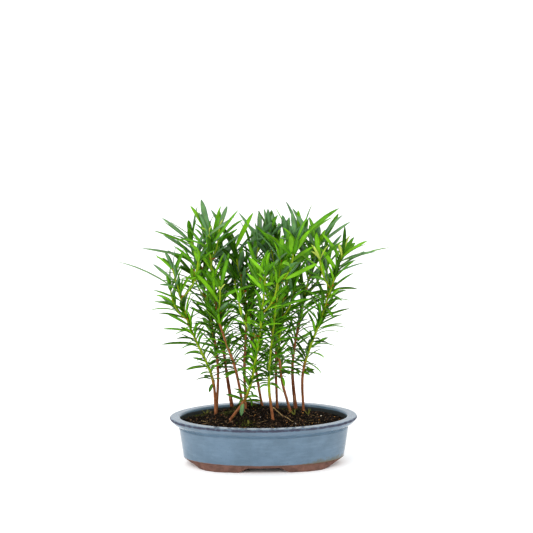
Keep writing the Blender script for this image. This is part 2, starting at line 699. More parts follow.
class PlantSettings(bpy.types.PropertyGroup):
    """The seedlings' growth and colours."""

    seed: IntProperty(name="Seed", description="Seed of the plants' random growth", default=6)
    side_shoots: count_setting("Side shoots", "Side shoots a seedling", 2)
    shoot_spacing: size_setting("Leaf spacing", "Between leaves up a shoot", 1.65 * MM)
    side_spacing: size_setting("Side spacing", "Between leaves up a side shoot", 6.5 * MM)
    leaf_short: size_setting("Lowest leaf", "Length of the lowest leaves", 17 * MM)
    leaf_long: size_setting("Topmost leaf", "Length of the topmost leaves", 43 * MM)
    leaf_narrow: size_setting("Lowest width", "Width of the lowest leaves", 3.1 * MM)
    leaf_broad: size_setting("Topmost width", "Width of the topmost leaves", 5.9 * MM)
    leaf_deep: colour_setting("Old leaves", "Dark old leaves", (0.028, 0.098, 0.003))
    leaf_green: colour_setting("Leaves", "Full-grown leaves", (0.069, 0.232, 0.005))
    leaf_bright: colour_setting("Bright leaves", "Fresh leaves", (0.145, 0.395, 0.006))
    leaf_silvery: colour_setting("Bloomed leaves", "Leaves with a grey bloom", (0.084, 0.21, 0.066))
    leaf_young: colour_setting("Young leaves", "Leaves just opened", (0.48, 0.6, 0.09))
    rib: colour_setting("Midribs", "The midrib of a leaf", (0.26, 0.44, 0.03))
    bark_red: colour_setting("Red bark", "Orange-brown bark", (0.33, 0.115, 0.042))
    bark_dark: colour_setting("Dark bark", "Dark brown bark", (0.25, 0.075, 0.026))
    bark_flake: colour_setting("Bark flakes", "Pale flakes on the bark", (0.52, 0.28, 0.15))
    shoot_red: colour_setting("Red shoot", "Red-brown tint of a young shoot", (0.27, 0.12, 0.015))
    shoot_green: colour_setting("Green shoot", "Fresh green of a shoot", (0.23, 0.34, 0.008))
    bud: colour_setting("Buds", "Buds and their scales", (0.3, 0.085, 0.018))


class StageSettings(bpy.types.PropertyGroup):
    """Floor, light and camera."""

    floor: colour_setting("Floor", "Pale floor", (0.97, 0.97, 0.97))
    glow: FloatProperty(name="Floor glow", description="Light that the floor gives off", default=0.08)
    sky: FloatProperty(name="Surround", description="Strength of the white surround", default=1.3)
    key: FloatProperty(name="Key light", description="Front light", default=23.0, unit="POWER")
    fill: FloatProperty(name="Fill light", description="Side light", default=2.4, unit="POWER")
    distance: size_setting("Distance", "From the camera to the plant", 1600 * MM)
    aim_side: size_setting("Aim", "Aim beside the pot's middle", 4.7 * MM)
    aim_height: size_setting("Aim height", "Height that the camera aims at", 211.8 * MM)
    pitch: angle_setting("Pitch", "How far the camera looks down", 7.3)
    roll: angle_setting("Roll", "How far the camera is turned", -0.54)
    view_angle: angle_setting("View", "Angle of view", 19.91)


# The pot and its soil

class GROVE_OT_glazed_bowl(bpy.types.Operator):
    """The glazed bowl: one outline, from the middle of its underside over the lip to its floor"""

    bl_idname = "grove.glazed_bowl"
    bl_label = "Glazed bowl"

    def execute(self, context):
        pot = context.scene.grove_pot
        outline = rounded(
            (
                (INNERMOST, FOOT_TOP, 0),
                (WALL_FOOT, FOOT_TOP, 0.7 * MM),
                (WALL_TOP, COVE_FOOT - 2 * MM, 0.4 * MM),
                (WALL_TOP - GROOVE_DEPTH, COVE_FOOT - 1.2 * MM, 0.3 * MM),
                (WALL_TOP + 0.3 * MM, COVE_FOOT, 0.4 * MM),
                (RIM - LIP_BELLY, POT_TOP - LIP_BELLY_DROP, 3.0 * MM),
                (RIM, POT_TOP - LIP_EDGE, 0.4 * MM),
                (RIM, POT_TOP, 1.6 * MM),
                (MOUTH, POT_TOP, 2.4 * MM),
                (MOUTH_FOOT, COVE_FOOT, 5 * MM),
                (FLOOR_EDGE, FLOOR_TOP, 7 * MM),
                (INNERMOST, FLOOR_TOP, 0),
            )
        )
        rings = oval(outline, POT_SIDES)
        spread = pot.unevenness * ripple(rings, 60 * MM, 1)[..., None]
        rings = rings + spread * unit(rings - POT_MIDDLE) * (1, 1, 0.5)
        grid = with_column(rings, self.wear(outline))
        piece = put_tubes("glazed_bowl", [grid[None]], glaze_finish(pot), "wear")
        place(piece, "glaze", "pot_bowl")
        return {"FINISHED"}

    def wear(self, outline):
        """1 where the glaze thins over the lip's edges, -1 where soil stains the inside, 0 elsewhere."""
        across, up = outline.T
        lip = np.hypot(across - RIM + 0.5 * MM, up - POT_TOP + 1.5 * MM)
        mouth = np.hypot(across - MOUTH - 0.5 * MM, up - POT_TOP + 0.5 * MM)
        thin = np.exp(-((lip / (2.2 * MM)) ** 2)) + 0.35 * np.exp(-((mouth / (1.2 * MM)) ** 2))
        inside = np.maximum.accumulate(up) >= POT_TOP - 0.01 * MM
        stained = inside * smooth_step(0.8 * MM, 4.5 * MM, POT_TOP - up)
        return thin - stained


def squarer(part):
    """A cosine or sine drawn out, so that a circle of them becomes a squarer oval."""
    return np.sign(part) * np.abs(part) ** (2 / FOOT_SQUARENESS)


class GROVE_OT_clay_foot(bpy.types.Operator):
    """The bare clay foot: a band that slants in from the wall's oval to a squarer oval on the ground, and
    whose ground edge rises over the two notches"""

    bl_idname = "grove.clay_foot"
    bl_label = "Clay foot"

    def execute(self, context):
        pot = context.scene.grove_pot
        turn = turns_round(FOOT_SIDES)
        beside = np.abs(FOOT_GROUND * squarer(np.cos(turn)))
        ground = NOTCH_HEIGHT * smooth_step(0, 1, (NOTCH_HALF_GROUND - beside) / NOTCH_SLOPE)
        share = np.linspace(0, 1, FOOT_ROWS)[:, None]
        rising = ground + FOOT_EDGE + (FOOT_TOP - ground - FOOT_EDGE) * share
        outer = self.face(turn, rising, FOOT_GROUND, WALL_FOOT)
        inner = self.face(turn, rising[::-1], FOOT_INNER, FOOT_INNER)
        low_outer = self.face(turn, ground[None], FOOT_GROUND, WALL_FOOT)
        low_inner = self.face(turn, ground[None], FOOT_INNER, FOOT_INNER)
        across = unit(low_outer - low_inner) * FOOT_EDGE
        rings = np.concatenate([low_inner + across, low_outer - across, outer, inner]) + POT_MIDDLE
        rings = rings + pot.unevenness * ripple(rings, 11 * MM, 2)[..., None] * (0.8, 0.8, 0)
        rows, sides = rings.shape[:2]
        ring, side = np.meshgrid(np.arange(rows), np.arange(sides), indexing="ij")
        after, next_side = (ring + 1) % rows * sides, (side + 1) % sides
        quads = np.stack(
            [ring * sides + side, ring * sides + next_side, after + next_side, after + side], axis=-1
        )
        no_triangles = np.zeros((0, 3), dtype=int)
        piece = put_mesh(
            "clay_foot", rings.reshape(-1, 3), quads.reshape(-1, 4), no_triangles, clay_finish(pot)
        )
        place(piece, "bare_clay", "pot_foot")
        return {"FINISHED"}

    def face(self, turn, heights, ground_across, top_across):
        """Points of a face that runs straight from an oval on the ground to one under the wall."""
        cosine, sine = np.cos(turn), np.sin(turn)
        ground_depth = ground_across - FOOT_GROUND + FOOT_GROUND_DEPTH
        low = np.stack([ground_across * squarer(cosine), ground_depth * squarer(sine)], axis=-1)
        top = np.stack([top_across * cosine, oval_depth(top_across, FOOT_TOP) * sine], axis=-1)
        rise = (heights / FOOT_TOP)[..., None]
        return np.concatenate([low + (top - low) * rise, heights[..., None]], axis=-1)


def out_share(spots):
    """How far out spots (x, y) lie over the oval of the pot's mouth: 0 at the middle, 1 at its edge."""
    return np.hypot(spots[..., 0] / MOUTH, spots[..., 1] / MOUTH_DEPTH)


def mound_height(spots):
    """Height of the smooth mound at spots from the pot's middle: the edge's height, and the share 1 - r^2
    of the mound's rise."""
    return SOIL_EDGE + SOIL_MOUND * (1 - np.minimum(1, out_share(spots)) ** 2)


def soil_height(spots):
    """The mound with its clods, which are waves in directions a golden angle apart, with crumbs, which are
    two finer ripples of a rise, a size and a seed each, and with a bell-shaped hump. The clods lie flat at
    the pot's wall."""
    order = np.arange(CLOD_WAVES)
    across = spots[..., :1] * np.cos(order * GOLDEN_ANGLE) + spots[..., 1:2] * np.sin(order * GOLDEN_ANGLE)
    clods = CLOD_RISE * np.sin(TAU * across / CLOD_SIZE + order**2).sum(-1)
    flat = np.concatenate([spots[..., :2], np.zeros((*spots.shape[:-1], 1))], axis=-1)
    crumbs = sum(rise * ripple(flat, size, seed) for rise, size, seed in CRUMB_RIPPLES)
    hump = HUMP_RISE * np.exp(-(((spots[..., :2] - HUMP_MIDDLE) / HUMP_REACH) ** 2).sum(-1))
    return mound_height(spots) + clods * (1 - np.minimum(1, out_share(spots)) ** 2) + crumbs + hump


def random_spots(random, count, reach=SOIL_REACH):
    """Spots spread evenly over the oval of the soil: an even turn, and a root of an even share outwards."""
    turn = random.uniform(0, TAU, count)
    out = reach * np.sqrt(random.uniform(0, 1, count))
    return np.stack([MOUTH * out * np.cos(turn), MOUTH_DEPTH * out * np.sin(turn)], axis=-1)


def on_soil(spots, lift=0.0):
    """Points on the soil's surface at spots from the pot's middle."""
    return np.concatenate([spots, (soil_height(spots) + lift)[..., None]], axis=-1) + POT_MIDDLE


def pods(random, centres, axes, lengths, widths, rings, sides, lumps=0.0):
    """Closed pods along their axes: the half width swells as the root of a sine, and each point of the
    skin is pushed in or out at random by a share `lumps`."""
    share = np.linspace(0.1, 0.9, rings)
    axes = unit(axes)
    paths = centres[:, None] + axes[:, None] * (lengths[:, None] * (share - 0.5))[..., None]
    radii = widths[:, None] / 2 * np.sqrt(np.sin(np.pi * share))
    aside = unit(np.cross(axes, axes[:, [1, 2, 0]] + (0.3, 0.1, 0.2)))
    ring = circles(aside[:, None], np.cross(axes, aside)[:, None], sides)
    skin = 1 + lumps * random.uniform(-1, 1, (len(centres), rings, sides, 1))
    return paths[:, :, None] + radii[..., None, None] * ring * skin


class GROVE_OT_soil_mound(bpy.types.Operator):
    """The mound of soil: its outline carried round the oval, with the surface raised in lumps"""

    bl_idname = "grove.soil_mound"
    bl_label = "Soil mound"

    EDGE = MOUTH - 0.7 * MM
    TOP_RINGS = 90
    SIDES = 240

    def execute(self, context):
        soil = context.scene.grove_soil
        under = np.array([(INNERMOST, SOIL_BED), (self.EDGE / 2, SOIL_BED), (self.EDGE - 1 * MM, SOIL_BED)])
        across = np.linspace(self.EDGE, INNERMOST, self.TOP_RINGS)
        top = np.stack([across, np.full(self.TOP_RINGS, SOIL_EDGE)], axis=-1)
        rings = oval(np.vstack([under, top]), self.SIDES)
        surface = rings[len(under):]
        surface[..., 2] = soil_height(surface - POT_MIDDLE)
        material = mottled_finish("damp_soil", soil.soil, 3 * MM, 0.6, 0.75, 0.9 * MM)
        place(put_tubes("soil_mound", [rings[None]], material), "soil", "soil")
        return {"FINISHED"}


class GROVE_OT_soil_litter(bpy.types.Operator):
    """Crumbs, chips of bark and pale grains: small lumpy pods strewn over the soil"""

    bl_idname = "grove.soil_litter"
    bl_label = "Soil litter"

    # Two chips and a grain that lie where the eye finds them, in mm from the pot's middle
    ORANGE_CHIPS = ((-9, -6.8), (76, 9.7))
    WHITE_GRAINS = ((61.8, 6.7),)

    def execute(self, context):
        soil = context.scene.grove_soil
        random = np.random.default_rng(21)
        # Name, colour, number, least and greatest length in mm, width to length, lumpiness, chosen spots
        kinds = (
            ("soil_crumbs", soil.soil, soil.crumbs, (1.0, 3.2), 0.9, 0.45, ()),
            ("brown_crumbs", soil.crumb, soil.crumbs // 2, (0.9, 3.0), 0.8, 0.45, ()),
            ("dry_crumbs", soil.dry, soil.crumbs // 7, (0.9, 2.8), 0.75, 0.45, ()),
            ("bark_chips", soil.chip, soil.crumbs // 16, (1.4, 4.0), 0.35, 0.35, ()),
            ("orange_chips", soil.orange, 16, (0.8, 2.4), 0.7, 0.3, self.ORANGE_CHIPS),
            ("pale_grains", soil.grit, 9, (0.6, 2.6), 0.85, 0.3, self.WHITE_GRAINS),
        )
        for name, colour, count, (least, most), slimness, lumps, marked in kinds:
            spots = random_spots(random, count)
            lengths = least * MM + (most - least) * MM * random.uniform(size=count) ** 1.5
            spots[: len(marked)] = np.array(marked).reshape(-1, 2) * MM
            lengths[: len(marked)] = most * MM
            centres = on_soil(spots, 0.3 * MM)
            axes = random.normal(size=(count, 3)) * (1, 1, 0.45)
            widths = lengths * slimness * random.uniform(0.7, 1.1, count)
            grid = pods(random, centres, axes, lengths, widths, rings=3, sides=5, lumps=lumps)
            material = mottled_finish(name, colour, 1.5 * MM, 0.5, 0.7, 0.2 * MM)
            place(put_tubes(name, [grid], material), "soil")
        return {"FINISHED"}


class GROVE_OT_moss(bpy.types.Operator):
    """Patches of moss: short blades that lean every way, crowded round the middle of each patch"""

    bl_idname = "grove.moss"
    bl_label = "Moss"

    # Middles of the patches in mm from the pot's middle, how far a patch spreads, and a blade's stations
    PATCHES = (
        (-72, 20), (-62, 34), (22, 46), (36, 26), (-26, 32), (-10, 34), (30, 38), (-18, -36), (-40, 12)
    )
    PATCH_SPREAD = 5.5 * MM
    BLADE_LENGTHS = (1.0, 2.7)
    BLADE_STATIONS = np.array([0.0, 0.5, 0.92])
    BLADE_RADII = np.array([0.32, 0.24, 0.06]) * MM

    def execute(self, context):
        soil = context.scene.grove_soil
        random = np.random.default_rng(31)
        patch = random.integers(0, len(self.PATCHES), soil.moss)
        strays = random.normal(size=(soil.moss, 2)) * self.PATCH_SPREAD
        spots = np.array(self.PATCHES)[patch] * MM + strays
        spots = spots[out_share(spots) < SOIL_REACH]
        roots = on_soil(spots, -0.3 * MM)
        lean = random.normal(size=(len(roots), 3)) * (0.5, 0.5, 0.15) + (0, 0, 1)
        tall = random.uniform(*self.BLADE_LENGTHS, len(roots)) * MM
        paths = roots[:, None] + unit(lean)[:, None] * (tall[:, None] * self.BLADE_STATIONS)[..., None]
        radii = self.BLADE_RADII * np.ones((len(roots), 1))
        material = mottled_finish("moss", soil.moss_green, 4 * MM, 0.6, 0.6, 0.1 * MM)
        place(put_tubes("moss", [sweep(paths, radii, 3)], material), "foliage")
        return {"FINISHED"}


class GROVE_OT_root_threads(bpy.types.Operator):
    """Dry roots and straws on the soil: thin tubes along a chord from one spot to another, or on the mound
    where the chord would run under it"""

    bl_idname = "grove.root_threads"
    bl_label = "Roots and straws"

    # The many small ones lie strewn. The larger ones have a start, an end, how far each end is off the
    # mound, and a radius
    SMALL_COUNT = 60
    SMALL_REACH = 0.88
    SMALL_LENGTH = 7 * MM
    SMALL_LIFT = 0.6 * MM
    SMALL_RADIUS = 0.15 * MM
    STATIONS = 18
    TAPER = 0.45
    WAVERING = np.array([0.5, 0.5, 0.2]) * MM
    LARGER = (
        ((9, 4), (31, -27), 5.0, 0.4, 0.62),
        ((-16, 40), (1, 41), 5.0, 4.0, 0.6),
        ((-66, -8), (-48, -22), 1.0, 0.4, 0.35),
    )

    def execute(self, context):
        soil = context.scene.grove_soil
        random = np.random.default_rng(41)
        starts = random_spots(random, self.SMALL_COUNT, self.SMALL_REACH)
        ends = starts + random.normal(size=starts.shape) * self.SMALL_LENGTH
        laid = self.SMALL_LIFT, self.SMALL_LIFT, self.SMALL_RADIUS
        lines = [(start, end, *laid) for start, end in zip(starts, ends)]
        lines += [
            (np.array(start) * MM, np.array(end) * MM, first * MM, last * MM, radius * MM)
            for start, end, first, last, radius in self.LARGER
        ]
        share = np.linspace(0, 1, self.STATIONS)
        paths, radii = [], []
        for start, end, first, last, radius in lines:
            spots = start + (end - start) * share[:, None]
            ground = soil_height(spots)
            chord = ground[0] + first + (ground[-1] + last - ground[0] - first) * share
            path = np.column_stack([spots, np.maximum(chord, ground + radius)]) + POT_MIDDLE
            paths.append(path + ripple(path, 14 * MM, 6)[:, None] * self.WAVERING)
            radii.append(radius * (1 - self.TAPER * share))
        material = mottled_finish("dry_root", soil.thread, 2 * MM, 0.4, 0.7, 0.1 * MM)
        place(put_tubes("root_threads", [sweep(np.array(paths), np.array(radii), 6)], material), "bark")
        return {"FINISHED"}


# The seedlings

class Twig(NamedTuple):
    """A limb as stations along its path: points, radii, how high on the seedling each sits (0 to 1) and
    how green it is; then the seedling's number, the spacing of its leaves and where the first sits."""

    points: np.ndarray
    radii: np.ndarray
    height: np.ndarray
    greenness: np.ndarray
    seedling: int
    spacing: float
    first_leaf: float


def seedling_curve(seedling, along):
    """Points on a seedling's curve, for shares along it. It is a Catmull-Rom spline through the four
    marks, and each span counts as the square root of its length."""
    foot = np.array(seedling.foot) * MM
    inward = 1 - FLARE_RADIUS / np.linalg.norm(foot)
    ground = mound_height(foot * inward) + STEM_CLEARANCE
    upper = np.array([seedling.leafy, seedling.shoulder, seedling.tip]) * MM
    marks = np.vstack([(*foot, ground), upper]) + POT_MIDDLE
    marks = np.vstack([2 * marks[0] - marks[1], marks, 2 * marks[-1] - marks[-2]])
    spans = np.sqrt(np.linalg.norm(np.diff(marks, axis=0), axis=1))
    part = np.clip((along * 3).astype(int), 0, 2)
    share = (along * 3 - part)[:, None]
    before, start, end, after = (marks[part + step] for step in range(4))
    first, middle, last = (spans[part + step][:, None] for step in range(3))
    step = (end - start) / middle
    leave = middle * ((start - before) / first - (end - before) / (first + middle) + step)
    reach = middle * (step - (after - start) / (middle + last) + (after - end) / last)
    cubed, squared = share**3, share**2
    return (
        (2 * cubed - 3 * squared + 1) * start
        + (cubed - 2 * squared + share) * leave
        + (3 * squared - 2 * cubed) * end
        + (cubed - squared) * reach
    )


def wood_to_green(points, seedling):
    """0 on the wood and 1 on the green of a seedling, changing over the height where it turns."""
    turning = seedling.green_from * MM
    return smooth_step(turning - GREENING_BELOW, turning + GREENING_ABOVE, points[:, 2])


def leafy_shoot(number, plant):
    """The leafy upper part of a seedling, tapering evenly to its tip."""
    seedling = SEEDLINGS[number]
    share = np.linspace(SHOOT_START, 1, SHOOT_STATIONS)
    points = seedling_curve(seedling, LEAFY_START + (1 - LEAFY_START) * share)
    radii = SHOOT_RADIUS + (TIP_RADIUS - SHOOT_RADIUS) * np.clip(share, 0, 1)
    green = wood_to_green(points, seedling)
    return Twig(points, radii, share, green, number, plant.shoot_spacing, 0.0)


def at_station(rows, station):
    """What the rows hold at a station counted from the first row, by straight lines between rows."""
    order = np.arange(len(rows))
    return np.stack([np.interp(station, order, column) for column in rows.T], axis=-1)


def side_shoot(shoot, share, turn, length, plant):
    """A side shoot: a quadratic curve that leaves the leafy shoot at a share of its height, swings out
    towards a knee and turns up."""
    root = at_station(shoot.points, np.interp(share, shoot.height, np.arange(len(shoot.height))))
    outward = np.array([math.cos(turn), math.sin(turn), 0])
    knee, tip = (root + length * (out * outward + (0, 0, up)) for out, up in (SIDE_KNEE, SIDE_TIP))
    along = np.linspace(0, 1, SIDE_STATIONS)[:, None]
    points = (1 - along) ** 2 * root + 2 * along * (1 - along) * knee + along**2 * tip
    radii = SIDE_RADIUS + (TIP_RADIUS - SIDE_RADIUS) * along[:, 0]
    age = SIDE_AGE + (1 - SIDE_AGE) * along[:, 0]
    height = share + (1 - share) * age
    green = np.clip(SIDE_GREEN + along[:, 0] * SIDE_GREENING, 0, 1)
    return Twig(points, radii, height, green, shoot.seedling, plant.side_spacing, SIDE_FIRST_LEAF)


def grow_twigs(plant):
    """The leafy shoots, and the side shoots that spiral up the upper part of each at the golden angle."""
    random = np.random.default_rng(plant.seed)
    shoots = [leafy_shoot(number, plant) for number in range(len(SEEDLINGS))]
    sides = []
    for shoot in shoots:
        first_turn = random.uniform(0, TAU)
        for index in range(plant.side_shoots):
            rise = (index + random.uniform()) / plant.side_shoots
            share = SIDE_LOWEST + (SIDE_HIGHEST - SIDE_LOWEST) * rise
            length = SIDE_LENGTH * random.uniform(*SIDE_LENGTH_RANGE)
            sides.append(side_shoot(shoot, share, first_turn + index * GOLDEN_ANGLE, length, plant))
    return shoots, sides


class Leaves(NamedTuple):
    """Leaves as arrays: root, forward, normal and side directions, length, width, curl, fold, kind."""

    root: np.ndarray
    forward: np.ndarray
    normal: np.ndarray
    side: np.ndarray
    length: np.ndarray
    width: np.ndarray
    curl: np.ndarray
    fold: np.ndarray
    kind: np.ndarray


def seat_leaves(roots, tangents, turns, angles, rolls):
    """Directions of leaves on a twig: each leaves it at its angle from the twig's direction, on the side
    that its turn gives, with its face towards the twig's tip, and then rolls about its own length."""
    outward = np.stack([np.cos(turns), np.sin(turns), np.zeros_like(turns)], axis=-1)
    outward = unit(outward - (outward * tangents).sum(-1, keepdims=True) * tangents)
    cosine, sine = np.cos(angles)[:, None], np.sin(angles)[:, None]
    forward = tangents * cosine + outward * sine
    normal = tangents * sine - outward * cosine
    side = np.cross(forward, normal)
    turn_in, turn_over = np.cos(rolls)[:, None], np.sin(rolls)[:, None]
    return roots, forward, normal * turn_in - side * turn_over, side * turn_in + normal * turn_over


def deal_kinds(random, height, tone):
    """The kind of each leaf: the higher it sits and the brighter its seedling's tone, the fresher. Some high
    leaves of the duller seedlings have a grey bloom."""
    count = len(height)
    brightness = FRESHER_BY_TONE * (tone - 0.5) * smooth_step(0.2, 0.8, height)
    spread = random.normal(0, FRESHNESS_SPREAD, count)
    freshness = FRESHNESS + brightness + FRESHER_BY_HEIGHT * height + spread
    kind = np.where(freshness < OLD_BELOW, DEEP, np.where(freshness < FRESH_FROM, GREEN, BRIGHT))
    bloom = smooth_step(0.45, 0.85, height) * (BLOOMED_SHARE - BLOOM_LOST_BY_TONE * tone)
    bloomed = random.uniform(size=count) < bloom
    return np.where(bloomed, SILVERY, kind)


def leaf_places(random, twig):
    """Shares of a twig where its leaves sit: a power of an even share with a sine wave on it, so that they
    crowd in the lower middle, and then a tuft at the tip."""
    length = np.linalg.norm(np.diff(twig.points, axis=0), axis=1).sum()
    count = int(length / twig.spacing)
    share = ((np.arange(count) + random.uniform(0.1, 0.9, count)) / count) ** LEAF_LOWNESS
    share = share + LEAF_CROWDING * np.sin(TAU * share) / TAU
    along = twig.first_leaf + (LAST_LEAF - twig.first_leaf) * share
    return np.concatenate([along, np.full(TUFT_LEAVES, LAST_LEAF)])


def twig_leaves(random, twig, plant):
    """The leaves of one twig, in a spiral at the golden angle. Up the seedling they grow longer and
    broader, stand closer to the twig and curl less. The tuft at the tip stands upright."""
    along = leaf_places(random, twig)
    count = len(along)
    tuft = along >= LAST_LEAF
    station = along * (len(twig.points) - 1)
    roots = at_station(twig.points, station)
    tangents = unit(unit(at_station(np.gradient(twig.points, axis=0), station)) + (0, 0, LEAF_LIFT))
    height = np.clip(at_station(twig.height[:, None], station)[:, 0], 0, 1)
    turns = random.uniform(0, TAU) + np.arange(count) * GOLDEN_ANGLE + random.normal(0, TURN_SPREAD, count)
    angles = LEAF_ANGLE - ANGLE_FALL * height**0.7 + random.normal(0, ANGLE_SPREAD, count)
    angles = angles + LOWEST_DROOP * np.exp(-height / LOWEST_SHARE)
    angles = np.where(tuft, random.uniform(*TUFT_ANGLES, count), angles)
    vigour = SEEDLINGS[twig.seedling].vigour
    lengths = plant.leaf_short + (plant.leaf_long * vigour - plant.leaf_short) * height**0.5
    lengths = lengths * random.uniform(*LENGTH_RANGE, count)
    lengths = lengths * np.where(tuft, random.uniform(*TUFT_LENGTHS, count), 1)
    widths = plant.leaf_narrow + (plant.leaf_broad * vigour**0.6 - plant.leaf_narrow) * height**2
    widths = widths * random.uniform(*WIDTH_RANGE, count)
    curl = np.clip(LEAF_CURL - CURL_FALL * height + random.normal(0, CURL_SPREAD, count), *CURLS)
    rolls = random.normal(0, ROLL_SPREAD, count)
    kind = deal_kinds(random, height, SEEDLINGS[twig.seedling].tone)
    young = tuft & (twig.seedling in YOUNG_SIZES) & (random.uniform(size=count) < YOUNG_SHARE)
    kind = np.where(young, YOUNG, kind)
    growth = np.where(young, YOUNG_SIZES.get(twig.seedling, 1), 1)
    seats = seat_leaves(roots, tangents, turns, angles, rolls)
    folds = random.uniform(*FOLD_RANGE, count)
    return Leaves(*seats, lengths * growth, widths * growth**0.7, curl, folds, kind)


def lone_leaves():
    """The leaves with places of their own. Each points by its lean and tilt, with its face turned as far up
    and to the front as it can be."""
    number, share, lean, tilt, length, width, curl, kind = np.array(LONE_LEAVES).T
    along = LEAFY_START + (1 - LEAFY_START) * share
    bearers = [SEEDLINGS[int(place)] for place in number]
    root = np.array([seedling_curve(bearer, along[i : i + 1])[0] for i, bearer in enumerate(bearers)])
    lean, tilt = np.radians(lean), np.radians(tilt)
    forward = np.stack([np.sin(lean) * np.cos(tilt), -np.sin(tilt), np.cos(lean) * np.cos(tilt)], axis=-1)
    up_front = np.array([0, -0.5, 0.87])
    normal = unit(up_front - (forward @ up_front)[:, None] * forward)
    sizes = length * MM, width * MM, curl, np.full(len(number), LONE_FOLD)
    return Leaves(root, forward, normal, np.cross(forward, normal), *sizes, kind.astype(int))


def grow_leaves(plant):
    """All leaves of the grove, without those of the twigs whose tips come too near the frame's box."""
    random = np.random.default_rng(plant.seed + 1)
    shoots, sides = grow_twigs(plant)
    sprays = [twig_leaves(random, twig, plant) for twig in shoots + sides]
    leaves = Leaves(*(np.concatenate(column) for column in zip(*sprays)))
    tips = leaf_lines(leaves, np.array([1.0]))[0][:, 0]
    low, high = (np.array(corner) for corner in CAD_BOX)
    inside = ((tips > low + LEAF_MARGIN) & (tips < high - LEAF_MARGIN)).all(axis=1)
    return Leaves(*(np.concatenate([column[inside], lone]) for column, lone in zip(leaves, lone_leaves())))


def leaf_lines(leaves, share):
    """The midline of each leaf and its face's direction, at shares of its length. The midline is an arc
    that bends back from the face by the leaf's curl in all."""
    arc = leaves.curl[:, None] * share
    reach = leaves.length[:, None] * np.sin(arc) / leaves.curl[:, None]
    drop = leaves.length[:, None] * (1 - np.cos(arc)) / leaves.curl[:, None]
    forward, normal = leaves.forward[:, None], leaves.normal[:, None]
    midline = leaves.root[:, None] + forward * reach[..., None] - normal * drop[..., None]
    face = normal * np.cos(arc)[..., None] + forward * np.sin(arc)[..., None]
    return midline, face


# A blade's section, round from the midrib: across as a share of the half width, up as one of the thickness
BLADE_SECTION = np.array([(0, 0.5), (0.6, 0.62), (1, 0), (0, -0.75), (-1, 0), (-0.6, 0.62)])
BLADE_SHARES = np.array([0.0, 0.08, 0.19, 0.35, 0.53, 0.71, 0.86, 0.95, 0.997])
BLADE_THICKNESS = 0.36 * MM
STALK_WIDTH = 0.55 * MM
RIB_SHARES = np.linspace(0.02, 0.9, 6)


def blade_outline(share):
    """Share of the full width along a leaf: v^0.75 (1 - v)^0.7, made so large that it is cut off by the
    full width in the middle, where the sides run nearly parallel."""
    return np.minimum(1, share**0.75 * (1 - share) ** 0.7 / 0.34)


def leaf_blades(leaves):
    """Closed blades: the section carried along each leaf's midline, its sides folded up from the midrib."""
    midline, face = leaf_lines(leaves, BLADE_SHARES)
    stalk = STALK_WIDTH * (1 - BLADE_SHARES**8)
    half = np.maximum(leaves.width[:, None] * blade_outline(BLADE_SHARES), stalk) / 2
    across, up = BLADE_SECTION.T
    aside = half[..., None] * across
    lift = aside * np.sign(across) * leaves.fold[:, None, None] + BLADE_THICKNESS * up
    spread = leaves.side[:, None, None] * aside[..., None] + face[:, :, None] * lift[..., None]
    return midline[:, :, None] + spread


def leaf_ribs(leaves):
    """Midribs: slim three-sided tubes that stand a little out of each blade's face."""
    midline, face = leaf_lines(leaves, RIB_SHARES)
    radius = (0.4 - 0.24 * RIB_SHARES) * MM
    turn = turns_round(3)
    up = np.cos(turn) * radius[:, None] * 0.6 + BLADE_THICKNESS * 0.5
    aside = np.sin(turn) * radius[:, None]
    spread = leaves.side[:, None, None] * aside[..., None] + face[:, :, None] * up[..., None]
    return midline[:, :, None] + spread


class GROVE_OT_woody_stems(bpy.types.Operator):
    """The bare stems: tubes up each seedling's curve to its first leaves, flared at the foot, with bark
    raised in lengthwise ridges and small lumps"""

    bl_idname = "grove.woody_stems"
    bl_label = "Woody stems"

    # The relief as shares of the radius: lengthwise ridges with lumps between, and roots at the foot
    SIDES = 20
    ROOTS = 4
    RIDGE_SHARE = 0.055
    LUMPS_TO_RIDGES = 0.6
    ROOT_SHARE = 0.08

    def execute(self, context):
        plant = context.scene.grove_plant
        share = np.linspace(STEM_START, 1.0, STEM_STATIONS)
        flare = np.exp(-np.clip(share, 0, 1) / FLARE_SHARE)
        roots = np.cos(self.ROOTS * turns_round(self.SIDES)) * flare[:, None]
        dark = np.isin(np.arange(len(SEEDLINGS)), DARK_BARKED)
        stems = []
        for seedling, thickening in zip(SEEDLINGS, np.where(dark, DARK_THICKENING, 1)):
            path = seedling_curve(seedling, LEAFY_START * share)
            radius = STEM_RADIUS * thickening
            radius = radius + (SHOOT_RADIUS - radius) * share + VISIBLE_FLARE * flare
            skin = sweep(path[None], radius[None], self.SIDES)[0]
            lumps = self.LUMPS_TO_RIDGES * ripple(skin, 3.2 * MM, 8)
            ridges = ripple(skin * (1, 1, 0.14), 1.5 * MM, 7) + lumps
            relief = 1 + self.RIDGE_SHARE * ridges + self.ROOT_SHARE * roots
            skin = path[:, None] + (skin - path[:, None]) * relief[..., None]
            stems.append(with_column(skin, wood_to_green(path, seedling)))
        stems = np.array(stems)
        for name, chosen, colour in (
            ("red_stems", ~dark, plant.bark_red),
            ("dark_stems", dark, plant.bark_dark),
        ):
            material = bark_finish(name.replace("stems", "bark"), colour, plant)
            nodes = np.array(STEM_NODES)[chosen].tolist()
            place(put_tubes(name, [stems[chosen]], material, "greenness"), "bark", *nodes)
        return {"FINISHED"}


